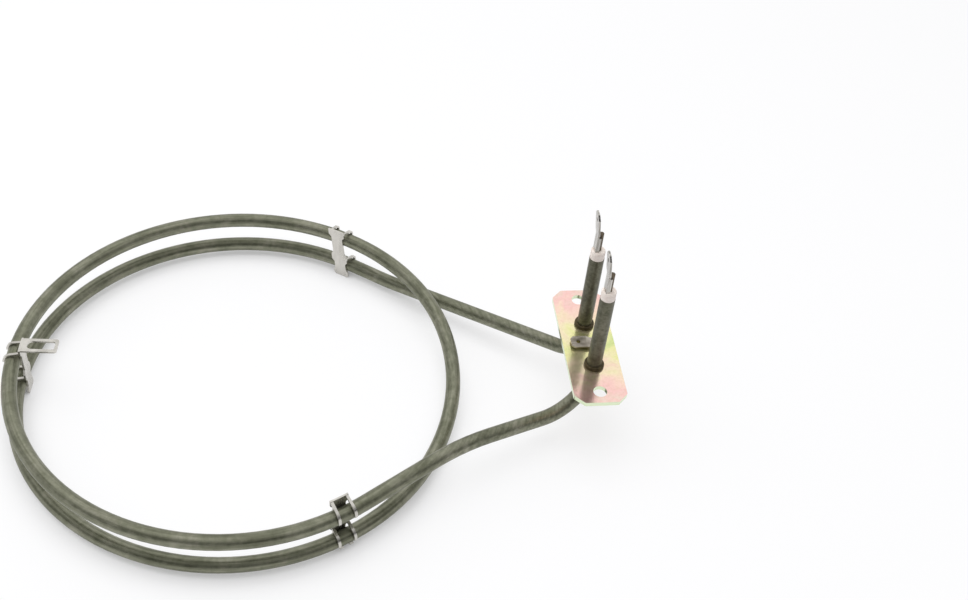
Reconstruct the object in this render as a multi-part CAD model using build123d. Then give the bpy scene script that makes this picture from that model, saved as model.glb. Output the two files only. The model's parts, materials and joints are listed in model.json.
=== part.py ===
from build123d import *
import math
import os

# Round two-turn tubular heating element with a screw-on flange.
# Frame: the origin is the middle of the flange's outer (terminal side) face, midway between
# the two fixing holes; +Z runs up the two terminal legs, +X from the ring towards the flange,
# and the fixing holes stand on the Y axis.  Millimetres.

# ---- sheath tube ---------------------------------------------------------
TUBE_D = 6.3            # outside diameter of the sheath
TUBE_WALL = 0.6
CORE_D = 2.2            # resistance coil and cold pins inside the filling
RING_R = 91.85          # centreline radius of both turns
RING_X = -149.5         # ring axis
RING_Y = 10.5
TURN_Z = -16.0          # centreline height of the upper turn
TURN_PITCH = 15.0       # the lower turn lies this much further down
LEG_PITCH = 24.0        # between the two terminal legs
LEG_TOP = 39.5          # cut end of both legs
BEND_A_R = 20.0         # bend of the front lead up into its leg
BEND_B_R = 12.0         # the same for the rear lead

LEAD_A_ANGLE = -56.6    # ring angle where the front lead leaves the upper turn
LEAD_A_RUN = 49.3       # from there to the middle of the front lead's set bend
LEAD_A_SET_R = 135.0
LEAD_A_Z = -25.5        # height of the front lead's corner below its leg
LEAD_B_ANGLE = 54.5     # ring angle where the rear lead leaves the lower turn
LEAD_B_RUN = 20.0
LEAD_B_SET_R = 72.0
LEAD_B_Z = -18.4
RAMP_FROM = 50.0        # the tube drops from the upper to the lower turn between these angles
RAMP_TO = -33.0
RAMP_BULGE = 2.1        # the dropping arc stands this much wider at its middle
RAMP_STEPS = 6

# ---- flange --------------------------------------------------------------
PLATE_W, PLATE_L, PLATE_T = 22.5, 66.0, 2.0
PLATE_CORNER = 4.2      # cut-off corner
PLATE_CORNER_R = 1.2
FIX_PITCH = 54.0
FIX_D = 5.8
COLLAR_D, COLLAR_H = 8.5, 1.8
COLLAR_ROUND = 0.9

# ---- earth tag -----------------------------------------------------------
TAG_W, TAG_T = 6.3, 0.8
TAG_TIP_X = -7.9
TAG_STEP_X = -1.6       # start of the joggle down to the flange
TAG_FOOT_X = 0.6
TAG_END_X = 6.4
TAG_LIFT = 1.0          # gap under the raised blade
TAG_BEND = 0.35         # the joggle's upper face is set over by this much
TAG_TIP_CUT = 1.1
TAG_HOLE_D = 1.8
TAG_HOLE_X = -4.8

# ---- leg ends ------------------------------------------------------------
BUSH_D = 6.1
BUSH_H = 4.3
BUSH_ROUND = 0.8
BUSH_SPIGOT = 5.0
SEAL_T = 2.0
PIN_TOP = 52.6
PIN_FOOT = -1.0
TAB_W, TAB_T = 6.3, 0.8
TAB_TOP = 63.6
TAB_LEAN = 1.4          # the blade is set over this far towards the ring at its top
TAB_TOP_CUT_Y, TAB_TOP_CUT_Z = 1.5, 2.0     # cut-off corners of the blade's end
TAB_SHOULDER = 53.6
TAB_NECK = 51.8
TAB_FOOT = LEG_TOP + BUSH_H
TAB_CRADLE_W = 3.8
TAB_WING = 1.0          # reach of the cradle's wings past the cradle floor
TAB_WING_DROP = 0.6     # the wings end this much below the neck
TAB_HOLE_D = 1.7
TAB_HOLE_Z = 60.2

# ---- clips ---------------------------------------------------------------
CLIP_REAR_ANGLE = 58.0
CLIP_REAR_LEAN = 1.8    # the rear clip sits this much askew between the two turns
CLIP_FRONT_ANGLE = -62.6
BRACKET_ANGLE = 175.0
CLIP_T = 0.8
CLIP_W = 8.0            # over both prongs, along the tube
CLIP_RISE = 3.4         # strip above the upper tube
CLIP_DROP = 2.0         # strip below the lower tube
STRIP_W = 7.4           # at the strip's lower end
STRIP_CUT = 0.8         # its cut-off corners
WAIST_W = 5.7           # between the roots of the prongs
WAIST_H = 3.0           # the strip widens over this height below the lower tube's middle
ROOT_FROM, ROOT_AT = 2.4, 3.8       # it widens to the prongs between these heights over a tube
ROOT_FADE = 2.2         # and narrows over this height above the lower prongs
PRONG_W = 1.15
PRONG_REACH = TUBE_D / 2 + CLIP_RISE        # root of a prong above its tube's middle
PRONG_LIFT = 1.0        # air between the crown of each prong and the tube
BRACKET_REACH = 5.0     # the same two sizes on the slotted clip, whose prongs lie closer
BRACKET_LIFT = 0.2
HOOK_W = 5.6            # over the two feet hooked under the lower tube
HOOK_FOOT_W = 1.4
HOOK_SWEEP = 150.0      # how far the feet wrap round under the tube, degrees
SLOT_ARM_L, SLOT_ARM_W = 15.6, 7.4
SLOT_ARM_R = 1.0
SLOT_L, SLOT_W = 11.5, 4.4
SLOT_END_R = 0.9        # corners at the slot's outer end; its inner end is round
SLOT_MARGIN = 1.2

LOW_Z = TURN_Z - TURN_PITCH
TUBE_R = TUBE_D / 2
BORE_R = TUBE_R - TUBE_WALL
CORE_R = CORE_D / 2
FULL_TURN = 360
PAST = 1.0              # cutters run this far past what they cut


def ring_point(angle, z, r=RING_R):
    a = math.radians(angle)
    return Vector(RING_X + r * math.cos(a), RING_Y + r * math.sin(a), z)


def unit(v):
    return v * (1 / v.length)


# ---- centreline ----------------------------------------------------------
def corner(before, at, after, radius):
    """Tangent arc that rounds the corner: its two end points and the start direction."""
    a, b = unit(before - at), unit(after - at)
    half = math.acos(max(-1, min(1, a.dot(b)))) / 2
    cut = radius / math.tan(half)
    return at + a * cut, at + b * cut, a * -1


def biarc(p0, t0, p1, t1):
    """Two tangent arcs between two points with given directions."""
    v, t = p1 - p0, t0 + t1
    k = 2 * (1 - t0.dot(t1))
    if k < 1e-9:
        d = v.dot(v) / (2 * v.dot(t))
    else:
        d = (-v.dot(t) + math.sqrt(v.dot(t) ** 2 + k * v.dot(v))) / k
    mid = (p0 + p1 + (t0 - t1) * d) * 0.5
    first = Edge.make_tangent_arc(p0, t0, mid)
    return [first, Edge.make_tangent_arc(mid, first.tangent_at(1), p1)]


def ramp(k):
    """Height and slope of the drop between the turns, k from 0 to 1 (two tangent curves)."""
    if k < 0.5:
        return 2 * k * k, 4 * k
    return 1 - 2 * (1 - k) ** 2, 4 * (1 - k)


def ramp_edges():
    span = math.radians(RAMP_FROM - RAMP_TO)
    edges, last = [], None
    for i in range(RAMP_STEPS + 1):
        k = i / RAMP_STEPS
        drop, slope = ramp(k)
        angle = RAMP_FROM + (RAMP_TO - RAMP_FROM) * k
        a = math.radians(angle)
        r = RING_R + RAMP_BULGE * (1 - math.cos(2 * math.pi * k)) / 2
        grow = RAMP_BULGE * math.pi * math.sin(2 * math.pi * k)
        p = ring_point(angle, TURN_Z - TURN_PITCH * drop, r)
        t = unit(Vector(grow * math.cos(a) + span * r * math.sin(a),
                        grow * math.sin(a) - span * r * math.cos(a), -TURN_PITCH * slope))
        if last:
            edges += biarc(last[0], last[1], p, t)
        last = (p, t)
    return edges


def ring_arc(start, end, z):
    """Arc of one turn, swept clockwise seen from above."""
    mid = (start + end) / 2
    return Edge.make_three_point_arc(ring_point(start, z), ring_point(mid, z), ring_point(end, z))


def lead(foot_y, ring_angle, z, sign, run, set_r, corner_z, bend_r):
    """Edges from the leg's bend to the ring, given in the order leg -> ring."""
    a = math.radians(ring_angle)
    out = Vector(-math.sin(a), math.cos(a), 0) * sign
    leave = ring_point(ring_angle, z)
    knee = leave + out * run
    foot = Vector(0, foot_y, corner_z)
    top = Vector(0, foot_y, LEG_TOP)
    b0, b1, tb = corner(top, foot, knee, bend_r)
    s0, s1, ts = corner(foot, knee, leave, set_r)
    return b0, [Edge.make_tangent_arc(b0, tb, b1), Edge.make_line(b1, s0),
                Edge.make_tangent_arc(s0, ts, s1), Edge.make_line(s1, leave)]


def flipped(edges):
    out = []
    for e in reversed(edges):
        p0, p1 = e.position_at(1), e.position_at(0)
        if e.geom_type == GeomType.LINE:
            out.append(Edge.make_line(p0, p1))
        else:
            out.append(Edge.make_three_point_arc(p0, e.position_at(0.5), p1))
    return out


YA, YB = -LEG_PITCH / 2, LEG_PITCH / 2
bend_a, lead_a = lead(YA, LEAD_A_ANGLE, TURN_Z, 1, LEAD_A_RUN, LEAD_A_SET_R, LEAD_A_Z,
                      BEND_A_R)
bend_b, lead_b = lead(YB, LEAD_B_ANGLE, LOW_Z, -1, LEAD_B_RUN, LEAD_B_SET_R, LEAD_B_Z,
                      BEND_B_R)


def route(top):
    """Whole centreline: down leg A, round both turns, up leg B, legs cut at height top."""
    edges = [Edge.make_line(Vector(0, YA, top), bend_a)] + lead_a
    edges.append(ring_arc(LEAD_A_ANGLE, RAMP_FROM - FULL_TURN, TURN_Z))
    edges += ramp_edges()
    edges.append(ring_arc(RAMP_TO, LEAD_B_ANGLE - FULL_TURN, LOW_Z))
    edges += flipped(lead_b)
    edges.append(Edge.make_line(bend_b, Vector(0, YB, top)))
    return edges


def swept(top, outer, inner=0):
    section = Circle(outer)
    if inner:
        section -= Circle(inner)
    start = Plane(origin=(0, YA, top), z_dir=(0, 0, -1))
    return sweep(start * section, path=Wire(route(top)))


def rod(x, y, z0, z1, r0, r1=0):
    """Upright cylinder, or a tube when r1 is given."""
    body = Pos(x, y, (z0 + z1) / 2) * Cylinder(r0, z1 - z0)
    if r1:
        body -= Pos(x, y, (z0 + z1) / 2) * Cylinder(r1, z1 - z0 + 2 * PAST)
    return body


def slab(x0, x1, y0, y1, z0, z1):
    return Pos((x0 + x1) / 2, (y0 + y1) / 2, (z0 + z1) / 2) * Box(x1 - x0, y1 - y0, z1 - z0)


# ---- flange, collars, earth tag ------------------------------------------
def flange():
    w, l, c = PLATE_W / 2, PLATE_L / 2, PLATE_CORNER
    pts = [(-w + c, -l), (w - c, -l), (w, -l + c), (w, l - c), (w - c, l), (-w + c, l),
           (-w, l - c), (-w, -l + c)]
    face = make_face(Polyline(*pts, close=True))
    face = fillet(face.vertices(), PLATE_CORNER_R)
    for y in (-FIX_PITCH / 2, FIX_PITCH / 2):
        face -= Pos(0, y) * Circle(FIX_D / 2)
    for y in (YA, YB):
        face -= Pos(0, y) * Circle(TUBE_R)
    return extrude(Pos(0, 0, -PLATE_T) * face, PLATE_T)


def rounded_rod(y, z0, z1, radius, rounding):
    """Upright cylinder on a leg's axis with its top edge rounded."""
    body = rod(0, y, z0, z1, radius)
    return fillet(body.edges().group_by(Axis.Z)[-1], rounding)


def collar(y):
    """Bead of braze round a leg, on the flange."""
    body = rounded_rod(y, 0, COLLAR_H, COLLAR_D / 2, COLLAR_ROUND)
    return body - rod(0, y, -PAST, COLLAR_H + PAST, TUBE_R)


def folded(side, width, outline):
    """Sheet bent to a side profile (x, z) and trimmed to the solid outline."""
    profile = Plane.XZ * make_face(Polyline(*side, close=True))
    return extrude(profile, width / 2, both=True) & outline


def earth_tag():
    up, t = TAG_LIFT, TAG_T
    side = [(TAG_TIP_X, up), (TAG_STEP_X, up), (TAG_FOOT_X, 0), (TAG_END_X, 0), (TAG_END_X, t),
            (TAG_FOOT_X + TAG_BEND, t), (TAG_STEP_X + TAG_BEND, up + t), (TAG_TIP_X, up + t)]
    plan = Pos((TAG_TIP_X + TAG_END_X) / 2, 0) * Rectangle(TAG_END_X - TAG_TIP_X, TAG_W)
    plan = chamfer(plan.vertices().group_by(Axis.X)[0], TAG_TIP_CUT)
    plan -= Pos(TAG_HOLE_X, 0) * Circle(TAG_HOLE_D / 2)
    return folded(side, TAG_W, extrude(plan, up + t))


# ---- leg ends ------------------------------------------------------------
def bush(y):
    foot, top = LEG_TOP - BUSH_SPIGOT, LEG_TOP + BUSH_H
    body = rounded_rod(y, LEG_TOP, top, BUSH_D / 2, BUSH_ROUND)
    body += rod(0, y, foot, LEG_TOP, BORE_R)
    return body - rod(0, y, foot - PAST, top + PAST, CORE_R)


def terminal(y):
    """Push-on tab whose lower end is folded into a cradle round the cold pin."""
    x1 = -CORE_R
    x0 = x1 - TAB_T
    c, w = TAB_CRADLE_W / 2, TAB_W / 2
    half = [(0, TAB_FOOT), (c, TAB_FOOT), (c, TAB_NECK), (w, TAB_SHOULDER),
            (w, TAB_TOP - TAB_TOP_CUT_Z), (w - TAB_TOP_CUT_Y, TAB_TOP), (0, TAB_TOP)]
    face = make_face(Polyline(*half, close=True))
    outline = extrude(Plane.YZ * (face + mirror(face, Plane.YZ)), TAB_W, both=True)
    side = [(x0, TAB_FOOT), (x1, TAB_FOOT), (x1, TAB_NECK), (x1 - TAB_LEAN, TAB_TOP),
            (x0 - TAB_LEAN, TAB_TOP), (x0, TAB_NECK)]
    body = folded(side, TAB_W, outline)
    body -= Pos(0, 0, TAB_HOLE_Z) * Rot(0, 90, 0) * Cylinder(TAB_HOLE_D / 2, 2 * TAB_W)
    for s in (-1, 1):
        y0, y1 = sorted((s * CORE_R, s * c))
        body += slab(x0, x1 + TAB_WING, y0, y1, TAB_FOOT, TAB_NECK - TAB_WING_DROP)
    return Pos(0, y, 0) * body


# ---- clips ---------------------------------------------------------------
# Each clip is a strip bent to the ring's inner side.  Sections are drawn in the ring's
# radial plane (r, z) and turned about the ring axis over the width they take up.
STRIP_R1 = RING_R - TUBE_R          # face that bears on the tubes
STRIP_R0 = STRIP_R1 - CLIP_T
CLIP_TOP = TURN_Z + TUBE_R + CLIP_RISE
CLIP_BOTTOM = LOW_Z - TUBE_R - CLIP_DROP


def degrees_for(width):
    return math.degrees(width / RING_R)


def turned(profile, angle, width, offset=0.0):
    """Turn a radial section about the ring axis, centred on angle plus an offset in mm."""
    span = degrees_for(width)
    start = angle + degrees_for(offset) - span / 2
    solid = revolve(Plane.XZ * profile, Axis.Z, span)
    return Pos(RING_X, RING_Y, 0) * Rot(0, 0, start) * solid


def on_circle(radius, angle, z):
    """Point of a radial section, on a circle about the tube's centreline raised to z."""
    a = math.radians(angle)
    return (RING_R + radius * math.cos(a), z + radius * math.sin(a))


def prong(z, reach, lift):
    """Off the side of the strip, straight over the tube at height z, down outside it."""
    r0, r1 = TUBE_R, TUBE_R + CLIP_T
    crown, root = z + lift, z + reach
    rise = root - crown
    touch = math.degrees(math.atan2(rise, -r1) - math.acos(r1 / math.hypot(rise, r1)))
    slope = math.tan(math.radians(90 - touch))
    inner = on_circle(r0, touch, crown)
    inner_root = inner[1] + slope * (inner[0] - STRIP_R1)
    out = BuildLine()
    with out:
        Polyline((STRIP_R1, inner_root), (STRIP_R0, inner_root), (STRIP_R0, root),
                 on_circle(r1, touch, crown))
        ThreePointArc(on_circle(r1, touch, crown), on_circle(r1, touch / 2, crown),
                      on_circle(r1, 0, crown))
        Polyline(on_circle(r1, 0, crown), (RING_R + r1, z), (RING_R + r0, z),
                 on_circle(r0, 0, crown))
        ThreePointArc(on_circle(r0, 0, crown), on_circle(r0, touch / 2, crown), inner)
        Line(inner, (STRIP_R1, inner_root))
    return make_face(out.line)


def foot(z):
    """Hook under the lower tube: wraps from the strip round to the tube's outer side."""
    r0, r1 = TUBE_R, TUBE_R + CLIP_T
    start, middle, end = 180, 180 + HOOK_SWEEP / 2, 180 + HOOK_SWEEP
    out = BuildLine()
    with out:
        Line(on_circle(r0, start, z), on_circle(r1, start, z))
        ThreePointArc(on_circle(r1, start, z), on_circle(r1, middle, z), on_circle(r1, end, z))
        Line(on_circle(r1, end, z), on_circle(r0, end, z))
        ThreePointArc(on_circle(r0, end, z), on_circle(r0, middle, z), on_circle(r0, start, z))
    return make_face(out.line)


def strip(angle, lean):
    """Waisted strip standing against both tubes, cut from a band that follows the ring."""
    band = make_face(Polyline((STRIP_R0, CLIP_BOTTOM), (STRIP_R1, CLIP_BOTTOM),
                              (STRIP_R1, CLIP_TOP), (STRIP_R0, CLIP_TOP), close=True))
    waist, wide, tail = WAIST_W / 2, CLIP_W / 2, STRIP_W / 2
    low_root = LOW_Z + PRONG_REACH
    edge = [(tail - STRIP_CUT, CLIP_BOTTOM), (tail, CLIP_BOTTOM + STRIP_CUT),
            (tail, LOW_Z - WAIST_H), (waist, LOW_Z),
            (waist, LOW_Z + ROOT_FROM), (wide, LOW_Z + ROOT_AT), (wide, low_root),
            (waist, low_root + ROOT_FADE), (waist, TURN_Z + ROOT_FROM),
            (wide, TURN_Z + ROOT_AT), (wide, CLIP_TOP)]
    middle = (TURN_Z + LOW_Z) / 2
    points = edge + [(-y, z) for y, z in reversed(edge)]
    points = [(y + lean * (z - middle) / TURN_PITCH, z) for y, z in points]
    cutter = extrude(Plane.YZ * make_face(Polyline(*points, close=True)), RING_R)
    return (turned(band, angle, 2 * CLIP_W)
            & Pos(RING_X, RING_Y, 0) * Rot(0, 0, angle) * cutter)


def clip(angle, lean=0.0, reach=PRONG_REACH, lift=PRONG_LIFT):
    body = strip(angle, lean)
    side = (CLIP_W - PRONG_W) / 2
    for s in (-1, 1):
        body += turned(prong(TURN_Z, reach, lift), angle, PRONG_W, lean / 2 + s * side)
        body += turned(prong(LOW_Z, reach, lift), angle, PRONG_W, -lean / 2 + s * side)
        body += turned(foot(LOW_Z), angle, HOOK_FOOT_W,
                       -lean / 2 + s * (HOOK_W - HOOK_FOOT_W) / 2)
    return body


def slotted_bracket(angle):
    """Clip whose strip carries a slotted arm bent inwards for a fixing screw."""
    root, end = -CLIP_T / 2, -SLOT_ARM_L
    arm = Pos((root + end) / 2, 0) * Rectangle(root - end, SLOT_ARM_W)
    arm = fillet(arm.vertices().group_by(Axis.X)[0], SLOT_ARM_R)
    slot_x0 = end + SLOT_MARGIN
    slot_x1 = slot_x0 + SLOT_L - SLOT_W / 2
    slot = Pos((slot_x0 + slot_x1) / 2, 0) * Rectangle(slot_x1 - slot_x0, SLOT_W)
    slot = fillet(slot.vertices().group_by(Axis.X)[0], SLOT_END_R)
    slot += Pos(slot_x1, 0) * Circle(SLOT_W / 2)
    arm = Pos(STRIP_R1, 0, CLIP_TOP - CLIP_T) * extrude(arm - slot, CLIP_T)
    body = clip(angle, reach=BRACKET_REACH, lift=BRACKET_LIFT)
    return body + Pos(RING_X, RING_Y, 0) * Rot(0, 0, angle) * arm


# ---- pieces --------------------------------------------------------------
SEAL_TOP = LEG_TOP - BUSH_SPIGOT
FILL_TOP = SEAL_TOP - SEAL_T

pieces = {
    "sheath_tube": swept(LEG_TOP, TUBE_R, BORE_R),
    "magnesia_filling": swept(FILL_TOP, BORE_R, CORE_R),
    "resistance_coil": swept(PIN_FOOT, CORE_R),
    "mounting_flange": flange(),
    "earth_tag": earth_tag(),
    "slotted_bracket_clip": slotted_bracket(BRACKET_ANGLE),
    "spacer_clip_rear": clip(CLIP_REAR_ANGLE, CLIP_REAR_LEAN),
    "spacer_clip_front": clip(CLIP_FRONT_ANGLE),
}
for side, y in (("front", YA), ("rear", YB)):
    pieces["leg_collar_" + side] = collar(y)
    pieces["cold_pin_" + side] = rod(0, y, PIN_FOOT, PIN_TOP, CORE_R)
    pieces["end_seal_" + side] = rod(0, y, FILL_TOP, SEAL_TOP, BORE_R, CORE_R)
    pieces["ceramic_bush_" + side] = bush(y)
    pieces["terminal_tab_" + side] = terminal(y)

os.makedirs("parts", exist_ok=True)
for name, body in pieces.items():
    export_step(body, f"parts/{name}.step")
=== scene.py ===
import json
import math

import bpy
from mathutils import Matrix, Vector


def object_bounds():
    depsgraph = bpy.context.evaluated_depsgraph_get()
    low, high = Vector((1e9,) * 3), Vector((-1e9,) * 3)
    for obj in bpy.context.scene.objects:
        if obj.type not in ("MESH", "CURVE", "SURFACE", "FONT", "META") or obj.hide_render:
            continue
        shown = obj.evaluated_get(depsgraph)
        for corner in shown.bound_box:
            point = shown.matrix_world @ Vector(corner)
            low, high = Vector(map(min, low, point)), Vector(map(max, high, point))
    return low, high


# A two-turn tubular heating element on a pale studio floor. Lengths are in metres. Every piece
# that shows is a CAD solid of the frame; this script adds their materials, floor, light and camera.
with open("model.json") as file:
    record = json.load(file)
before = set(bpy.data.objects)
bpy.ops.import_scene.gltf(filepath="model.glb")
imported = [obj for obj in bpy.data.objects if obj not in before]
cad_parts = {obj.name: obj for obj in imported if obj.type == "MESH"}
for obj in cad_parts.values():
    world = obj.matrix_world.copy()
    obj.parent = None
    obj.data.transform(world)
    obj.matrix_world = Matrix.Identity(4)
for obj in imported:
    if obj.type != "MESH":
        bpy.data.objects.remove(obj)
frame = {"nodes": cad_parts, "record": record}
NODES = frame["nodes"]
CAD_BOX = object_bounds()

MM = 0.001


def aimed(place, aim):
    """The matrix of a camera or lamp that stands at place and looks at aim."""
    look = (aim - place).to_track_quat("-Z", "Y").to_matrix().to_4x4()
    return Matrix.Translation(place) @ look


# ---- camera, fitted to the outlines in the photograph --------------------
CAM_PLACE = Vector((-122.66, -369.95, 395.02)) * MM
CAM_AIM = Vector((-38.60, 44.68, -16.22)) * MM
CAM_ROLL = math.radians(6.64)
CAM_LENS = 48.07                       # millimetres, as is the sensor's width
CAM_SENSOR = 36.0
CAM_NEAR = 0.01


def make_camera():
    data = bpy.data.cameras.new("camera")
    data.sensor_width = CAM_SENSOR
    data.lens = CAM_LENS
    data.clip_start = CAM_NEAR
    cam = bpy.data.objects.new("camera", data)
    bpy.context.scene.collection.objects.link(cam)
    cam.matrix_world = aimed(CAM_PLACE, CAM_AIM) @ Matrix.Rotation(CAM_ROLL, 4, "Z")
    bpy.context.scene.camera = cam


# ---- node helpers --------------------------------------------------------
NOISE_RANGE = (0.3, 0.7)               # most of a noise's values lie in here


def srgb(r, g, b):
    """A linear colour from 0-255 screen values."""
    def linear(value):
        value /= 255.0
        return value / 12.92 if value <= 0.04045 else ((value + 0.055) / 1.055) ** 2.4
    return (linear(r), linear(g), linear(b))


def empty_tree(owner):
    """The owner's node tree, switched on and cleared."""
    owner.use_nodes = True
    owner.node_tree.nodes.clear()
    return owner.node_tree


def new_material(name):
    """A material with nothing but a Principled shader: itself, its tree and the shader."""
    mat = bpy.data.materials.new(name)
    tree = empty_tree(mat)
    out = tree.nodes.new("ShaderNodeOutputMaterial")
    shader = tree.nodes.new("ShaderNodeBsdfPrincipled")
    tree.links.new(shader.outputs["BSDF"], out.inputs["Surface"])
    return mat, tree, shader


def feed(tree, socket, value):
    """Link another node's output to the socket, or set a colour or number on it."""
    if isinstance(value, bpy.types.NodeSocket):
        tree.links.new(value, socket)
    elif isinstance(value, tuple):
        socket.default_value = (*value, 1.0)
    else:
        socket.default_value = value


def object_coords(tree, scale=(1, 1, 1)):
    """Object coordinates; a scale under 1 draws the pattern out along that axis."""
    coords = tree.nodes.new("ShaderNodeTexCoord")
    mapping = tree.nodes.new("ShaderNodeMapping")
    mapping.inputs["Scale"].default_value = scale
    tree.links.new(coords.outputs["Object"], mapping.inputs["Vector"])
    return mapping.outputs["Vector"]


def parts_of(tree, vector):
    """The outputs X, Y and Z of a vector."""
    node = tree.nodes.new("ShaderNodeSeparateXYZ")
    tree.links.new(vector, node.inputs["Vector"])
    return node.outputs


def noise(tree, vector, scale, detail=3.0, rough=0.55, distort=0.0):
    """Noise of about scale grains to the metre."""
    node = tree.nodes.new("ShaderNodeTexNoise")
    node.inputs["Scale"].default_value = scale
    node.inputs["Detail"].default_value = detail
    node.inputs["Roughness"].default_value = rough
    node.inputs["Distortion"].default_value = distort
    tree.links.new(vector, node.inputs["Vector"])
    return node.outputs["Fac"]


def ramp(tree, value, stops):
    """Colours by value, from stops of (value, colour)."""
    node = tree.nodes.new("ShaderNodeValToRGB")
    items = node.color_ramp.elements
    while len(items) < len(stops):
        items.new(0.5)
    for item, (at, colour) in zip(items, stops):
        item.position = at
        item.color = (*colour, 1.0)
    tree.links.new(value, node.inputs["Fac"])
    return node.outputs["Color"]


def remap(tree, value, ends, source=NOISE_RANGE):
    """Stretch a value from its source range to the two ends, and hold it there beyond them."""
    node = tree.nodes.new("ShaderNodeMapRange")
    node.inputs["From Min"].default_value = source[0]
    node.inputs["From Max"].default_value = source[1]
    node.inputs["To Min"].default_value = ends[0]
    node.inputs["To Max"].default_value = ends[1]
    tree.links.new(value, node.inputs["Value"])
    return node.outputs["Result"]


def mix(tree, factor, a, b, blend="MIX"):
    """Colour a with colour b blended into it, by the factor."""
    node = tree.nodes.new("ShaderNodeMix")
    node.data_type = "RGBA"
    node.blend_type = blend
    feed(tree, node.inputs["Factor"], factor)
    feed(tree, node.inputs["A"], a)
    feed(tree, node.inputs["B"], b)
    return node.outputs["Result"]


def maths(tree, operation, *values):
    """One step of arithmetic on outputs or plain numbers."""
    node = tree.nodes.new("ShaderNodeMath")
    node.operation = operation
    for socket, value in zip(node.inputs, values):
        feed(tree, socket, value)
    return node.outputs["Value"]


def bump(tree, shader, height, strength, distance):
    """Fine relief in the shader's normal; distance is its depth in metres."""
    node = tree.nodes.new("ShaderNodeBump")
    node.inputs["Strength"].default_value = strength
    node.inputs["Distance"].default_value = distance
    tree.links.new(height, node.inputs["Height"])
    tree.links.new(node.outputs["Normal"], shader.inputs["Normal"])


# ---- sheath: steel tube, oxidised grey-green -----------------------------
RING_CENTRE = (-0.1495, 0.0105)
RING_STREAK = 0.004                    # metres of pattern for each radian round the ring
LEG_SHADE_BAND = (-0.004, 0.004)             # heights between which painted shade turns the legs darker than the ring
# Painted shade: the upright legs are coloured darker than the ring, standing in for the dimmer
# light they catch.
LEG_PAINTED_SHADE = (0.64, 0.61, 0.60)
SHEATH_TONES = [(0.30, srgb(120, 121, 104)),
                (0.50, srgb(134, 135, 118)),
                (0.70, srgb(150, 149, 134))]
SPOT_FACTORS = [(0.34, (0.80, 0.81, 0.76)),
                (0.50, (0.96, 0.96, 0.95)),
                (0.66, (1.12, 1.12, 1.11))]
DRAW_FACTORS = [(0.36, (0.76, 0.77, 0.73)),
                (0.62, (1.12, 1.12, 1.12))]
SHEATH_ROUGH = (0.34, 0.50)
SHEATH_METALLIC = 0.8


def ring_coords(tree):
    """Coordinates that run round the ring: angle, distance from its axis, height."""
    place = parts_of(tree, object_coords(tree))
    x = maths(tree, "SUBTRACT", place["X"], RING_CENTRE[0])
    y = maths(tree, "SUBTRACT", place["Y"], RING_CENTRE[1])
    squares = maths(tree, "ADD", maths(tree, "MULTIPLY", x, x), maths(tree, "MULTIPLY", y, y))
    angle = maths(tree, "ARCTAN2", y, x)
    join = tree.nodes.new("ShaderNodeCombineXYZ")
    tree.links.new(maths(tree, "MULTIPLY", angle, RING_STREAK), join.inputs["X"])
    tree.links.new(maths(tree, "SQRT", squares), join.inputs["Y"])
    tree.links.new(place["Z"], join.inputs["Z"])
    return join.outputs["Vector"]


def sheath_material(name):
    """Nearly matt, blotched and spotted, with draw marks round the ring, and painted shade that
    darkens the legs.
    """
    mat, tree, shader = new_material(name)
    at = object_coords(tree)
    blotch = noise(tree, at, scale=70, detail=4, distort=0.6)
    spot = noise(tree, at, scale=420, detail=3, distort=0.3)
    fine = noise(tree, at, scale=1500, detail=2)
    draw = noise(tree, ring_coords(tree), scale=900, detail=2)
    aged = mix(tree, 1.0, ramp(tree, blotch, SHEATH_TONES), ramp(tree, spot, SPOT_FACTORS),
               "MULTIPLY")
    ring = mix(tree, 1.0, aged, ramp(tree, draw, DRAW_FACTORS), "MULTIPLY")
    # Painted shade: the ring's colour darkened for the legs.
    legs_painted_shade = mix(tree, 1.0, ring, LEG_PAINTED_SHADE, "MULTIPLY")
    leg_shade_mask = remap(tree, parts_of(tree, at)["Z"], (0.0, 1.0), LEG_SHADE_BAND)
    tree.links.new(mix(tree, leg_shade_mask, ring, legs_painted_shade), shader.inputs["Base Color"])
    tree.links.new(remap(tree, spot, SHEATH_ROUGH), shader.inputs["Roughness"])
    shader.inputs["Metallic"].default_value = SHEATH_METALLIC
    bump(tree, shader, mix(tree, 0.5, draw, fine), strength=0.30, distance=0.00005)
    return mat


# ---- flange: yellow-passivated zinc --------------------------------------
FILM_RISE = 17.0                       # change of the film's colour for each metre along the flange
CLOUD_SHARE = 0.75                     # how much clouds break that up
FILM_TONES = [(0.30, srgb(214, 226, 156)),
              (0.42, srgb(238, 236, 172)),
              (0.54, srgb(246, 234, 194)),
              (0.70, srgb(251, 219, 202)),
              (0.84, srgb(250, 206, 200)),
              (1.00, srgb(240, 220, 204))]
STAIN_FACTORS = [(0.36, (0.88, 0.84, 0.78)),
                 (0.55, (1.00, 1.00, 1.00))]
STAIN_SHARE = 0.35
EDGE_TONE = srgb(226, 238, 204)        # the plate's cut edges
ZINC_ROUGH = (0.13, 0.24)
ZINC_METALLIC = 0.85


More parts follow.
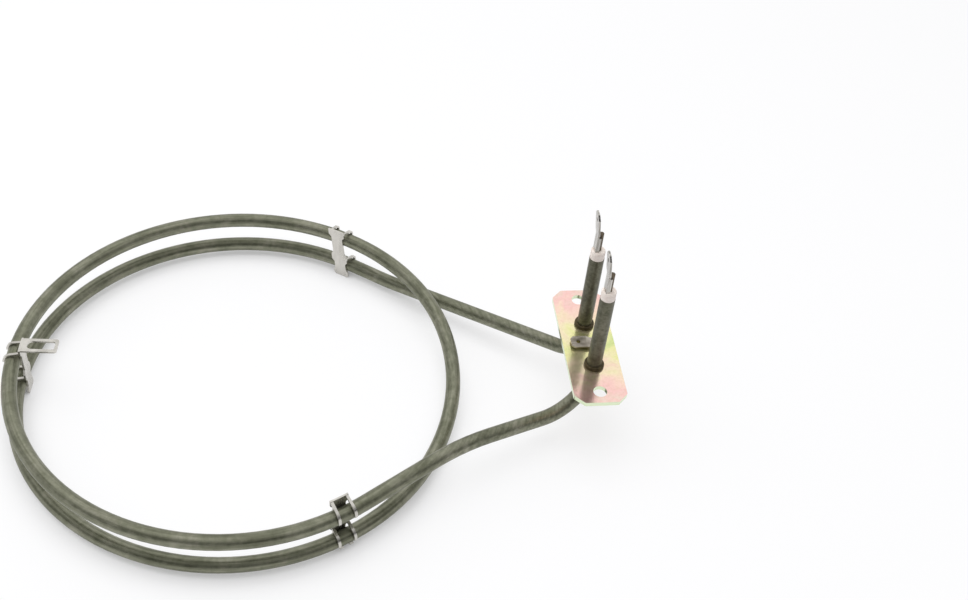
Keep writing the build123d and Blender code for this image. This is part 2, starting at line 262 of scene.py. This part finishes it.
def zinc_material(name):
    """Glossy, yellow-green in the middle of the flange and pink towards its ends."""
    mat, tree, shader = new_material(name)
    at = object_coords(tree)
    cloud = noise(tree, at, scale=85, detail=2, distort=0.8)
    speckle = noise(tree, at, scale=600, detail=3, distort=0.5)
    along = maths(tree, "ABSOLUTE", parts_of(tree, at)["Y"])
    film = maths(tree, "ADD", maths(tree, "MULTIPLY", along, FILM_RISE),
                 maths(tree, "MULTIPLY", cloud, CLOUD_SHARE))
    faces = mix(tree, STAIN_SHARE, ramp(tree, film, FILM_TONES),
                ramp(tree, speckle, STAIN_FACTORS), "MULTIPLY")
    normal = tree.nodes.new("ShaderNodeTexCoord").outputs["Normal"]
    flat = maths(tree, "ABSOLUTE", parts_of(tree, normal)["Z"])
    tree.links.new(mix(tree, flat, EDGE_TONE, faces), shader.inputs["Base Color"])
    tree.links.new(remap(tree, cloud, ZINC_ROUGH), shader.inputs["Roughness"])
    shader.inputs["Metallic"].default_value = ZINC_METALLIC
    bump(tree, shader, mix(tree, 0.5, cloud, speckle), strength=0.22, distance=0.00010)
    return mat


# ---- collars: near black-brown, painted shade over their own olive -------
# Painted shade: these tones are far darker than the olive the collar has of itself.
COLLAR_SHADE_TONES = [(0.32, srgb(48, 40, 22)),
               (0.50, srgb(74, 64, 40)),
               (0.70, srgb(104, 92, 62))]
BRAZE_ROUGH = (0.35, 0.60)
BRAZE_METALLIC = 0.5


def collar_shade_material(name):
    """Nearly black-brown, which is painted shade, with lighter scale."""
    mat, tree, shader = new_material(name)
    crust = noise(tree, object_coords(tree), scale=450, detail=5, rough=0.7, distort=0.4)
    tree.links.new(ramp(tree, crust, COLLAR_SHADE_TONES), shader.inputs["Base Color"])
    tree.links.new(remap(tree, crust, BRAZE_ROUGH), shader.inputs["Roughness"])
    shader.inputs["Metallic"].default_value = BRAZE_METALLIC
    bump(tree, shader, crust, strength=0.5, distance=0.00015)
    return mat


# ---- plain metals, and chalky pieces -------------------------------------
METALS = {
    "clip_steel": dict(dark=srgb(192, 189, 182), light=srgb(216, 213, 206), rough=0.27,
                       grain=(0.5, 0.5, 0.15)),
    "tag_steel": dict(dark=srgb(152, 143, 130), light=srgb(208, 200, 188), rough=0.40,
                      grain=(0.3, 1, 1), dent=0.3),
    "tinned_tab": dict(dark=srgb(140, 137, 130), light=srgb(214, 211, 205), rough=0.26,
                       grain=(2, 2, 0.12)),
    # pin_steel's dark brown-grey is painted shade; the pin's own steel is lighter.
    "pin_steel": dict(dark=srgb(84, 75, 62), light=srgb(112, 101, 86), rough=0.38,
                      grain=(1, 1, 0.2)),
    "coil_wire": dict(dark=srgb(96, 92, 88), light=srgb(126, 120, 114), rough=0.45,
                      grain=(1, 1, 1)),
}
CHALKS = {
    "ceramic": dict(dark=srgb(236, 222, 212), light=srgb(250, 240, 232), rough=0.75, grain=500),
    "magnesia": dict(dark=srgb(214, 211, 202), light=srgb(236, 233, 226), rough=0.9, grain=900),
    "seal_resin": dict(dark=srgb(176, 160, 140), light=srgb(198, 182, 162), rough=0.5, grain=500),
}
METAL_STOPS = (0.35, 0.65)             # noise values of a metal's dark and light tones
METAL_UNEVEN = (-0.06, 0.08)           # spread of a metal's roughness about its own value
METAL_METALLIC = 0.9
CHALK_STOPS = (0.35, 0.62)


def metal_material(name, dark, light, rough, grain, dent=0.1):
    """Sheet or wire. Its pattern is drawn out along the axes where grain is under 1."""
    mat, tree, shader = new_material(name)
    streak = noise(tree, object_coords(tree, grain), scale=500, detail=3)
    tones = ramp(tree, streak, list(zip(METAL_STOPS, (dark, light))))
    tree.links.new(tones, shader.inputs["Base Color"])
    ends = [rough + change for change in METAL_UNEVEN]
    tree.links.new(remap(tree, streak, ends), shader.inputs["Roughness"])
    shader.inputs["Metallic"].default_value = METAL_METALLIC
    bump(tree, shader, streak, strength=dent, distance=0.00004)
    return mat


def chalky_material(name, dark, light, rough, grain):
    """Unglazed ceramic, packed powder or cast resin."""
    mat, tree, shader = new_material(name)
    grains = noise(tree, object_coords(tree), scale=grain, detail=5, rough=0.7)
    tones = ramp(tree, grains, list(zip(CHALK_STOPS, (dark, light))))
    tree.links.new(tones, shader.inputs["Base Color"])
    shader.inputs["Roughness"].default_value = rough
    bump(tree, shader, grains, strength=0.3, distance=0.00006)
    return mat


def make_materials():
    """One material for each material slot of the record."""
    made = {
        "oxidised_sheath": sheath_material("oxidised_sheath"),
        "zinc_yellow": zinc_material("zinc_yellow"),
        "collar_braze": collar_shade_material("collar_braze"),
    }
    for name, look in METALS.items():
        made[name] = metal_material(name, **look)
    for name, look in CHALKS.items():
        made[name] = chalky_material(name, **look)
    return made


def dress_nodes():
    """Finish every CAD piece in its own slot's material."""
    materials = make_materials()
    for part in frame["record"]["subparts"]:
        for slot in NODES[part["node"]].material_slots:
            slot.material = materials[part["material_slot"]]


# ---- floor ---------------------------------------------------------------
FLOOR_SIZE = 12.0
FLOOR_BELOW = 0.0002                   # how far the floor lies under the object's lowest point
FLOOR_PAINT = srgb(244, 244, 247)
FLOOR_GLOW = 0.7                       # share of plain white in the floor as it is looked at
CONTACT = 0.012                        # distance from the object within which that white fades, painting a deeper contact shadow
CONTACT_SAMPLES = 6


def floor_material():
    """Pale paint, made whiter for the rays that look at it, but less so close to the object, which
    paints a deeper contact shadow.
    """
    mat = bpy.data.materials.new("floor_white")
    tree = empty_tree(mat)
    out = tree.nodes.new("ShaderNodeOutputMaterial")
    blend = tree.nodes.new("ShaderNodeMixShader")
    paint = tree.nodes.new("ShaderNodeBsdfDiffuse")
    paint.inputs["Color"].default_value = (*FLOOR_PAINT, 1.0)
    glow = tree.nodes.new("ShaderNodeEmission")
    path = tree.nodes.new("ShaderNodeLightPath")
    looked_at = path.outputs["Is Camera Ray"]
    for ray in ("Is Glossy Ray", "Is Transmission Ray"):
        looked_at = maths(tree, "MAXIMUM", looked_at, path.outputs[ray])
    contact = tree.nodes.new("ShaderNodeAmbientOcclusion")
    contact.inputs["Distance"].default_value = CONTACT
    contact.samples = CONTACT_SAMPLES
    # Painted shadow: ambient occlusion dims the white near the object to deepen its contact shadow.
    clear = maths(tree, "MULTIPLY", contact.outputs["AO"], FLOOR_GLOW)
    tree.links.new(maths(tree, "MULTIPLY", looked_at, clear), blend.inputs["Fac"])
    tree.links.new(paint.outputs["BSDF"], blend.inputs[1])
    tree.links.new(glow.outputs["Emission"], blend.inputs[2])
    tree.links.new(blend.outputs["Shader"], out.inputs["Surface"])
    return mat


def make_floor():
    lowest = CAD_BOX[0][2]
    bpy.ops.mesh.primitive_plane_add(size=FLOOR_SIZE, location=(0, 0, lowest - FLOOR_BELOW))
    floor = bpy.context.object
    floor.name = "floor"
    floor.data.materials.append(floor_material())


# ---- studio light --------------------------------------------------------
SKY_BRIGHT = (0.0, 0.5, 0.866)         # the ceiling's brightest direction: up, a little behind
SKY_LEVELS = (0.04, 1.08)              # its brightness at a right angle to that, and straight in it
WALL_LEVEL = 0.85                      # brightness of the pale walls all round
WALL_ENDS = (0.10, 0.22)               # sines of the heights between which the walls fade out
LAMP_AIM = Vector((-0.1, 0.0, 0.0))
LAMPS = {
    "softbox_top": dict(place=Vector((-0.20, 0.05, 1.1)), width=1.0, watts=6.2),
    "softbox_left": dict(place=Vector((-1.0, 0.3, 0.8)), width=0.7, watts=2.0),
}


def make_world():
    """Pale walls low down all round, and a ceiling that is bright behind and dark in front."""
    world = bpy.data.worlds.new("studio")
    bpy.context.scene.world = world
    tree = empty_tree(world)
    out = tree.nodes.new("ShaderNodeOutputWorld")
    room = tree.nodes.new("ShaderNodeBackground")
    room.inputs["Color"].default_value = (1, 1, 1, 1)
    direction = tree.nodes.new("ShaderNodeTexCoord").outputs["Generated"]
    facing = tree.nodes.new("ShaderNodeVectorMath")
    facing.operation = "DOT_PRODUCT"
    facing.inputs[1].default_value = SKY_BRIGHT
    tree.links.new(direction, facing.inputs[0])
    sky = remap(tree, facing.outputs["Value"], SKY_LEVELS, (0.0, 1.0))
    wall = remap(tree, parts_of(tree, direction)["Z"], (WALL_LEVEL, 0.0), WALL_ENDS)
    tree.links.new(maths(tree, "MAXIMUM", sky, wall), room.inputs["Strength"])
    tree.links.new(room.outputs["Background"], out.inputs["Surface"])


def make_lamp(name, place, width, watts):
    """A square softbox that lights the object, but isn't mirrored in its metal."""
    data = bpy.data.lights.new(name, "AREA")
    data.shape = "SQUARE"
    data.size = width
    data.energy = watts
    lamp = bpy.data.objects.new(name, data)
    lamp.visible_glossy = False
    bpy.context.scene.collection.objects.link(lamp)
    lamp.matrix_world = aimed(place, LAMP_AIM)


make_camera()
dress_nodes()
make_floor()
make_world()
for lamp_name, lamp_values in LAMPS.items():
    make_lamp(lamp_name, **lamp_values)

bpy.context.scene.view_settings.view_transform = "Standard"
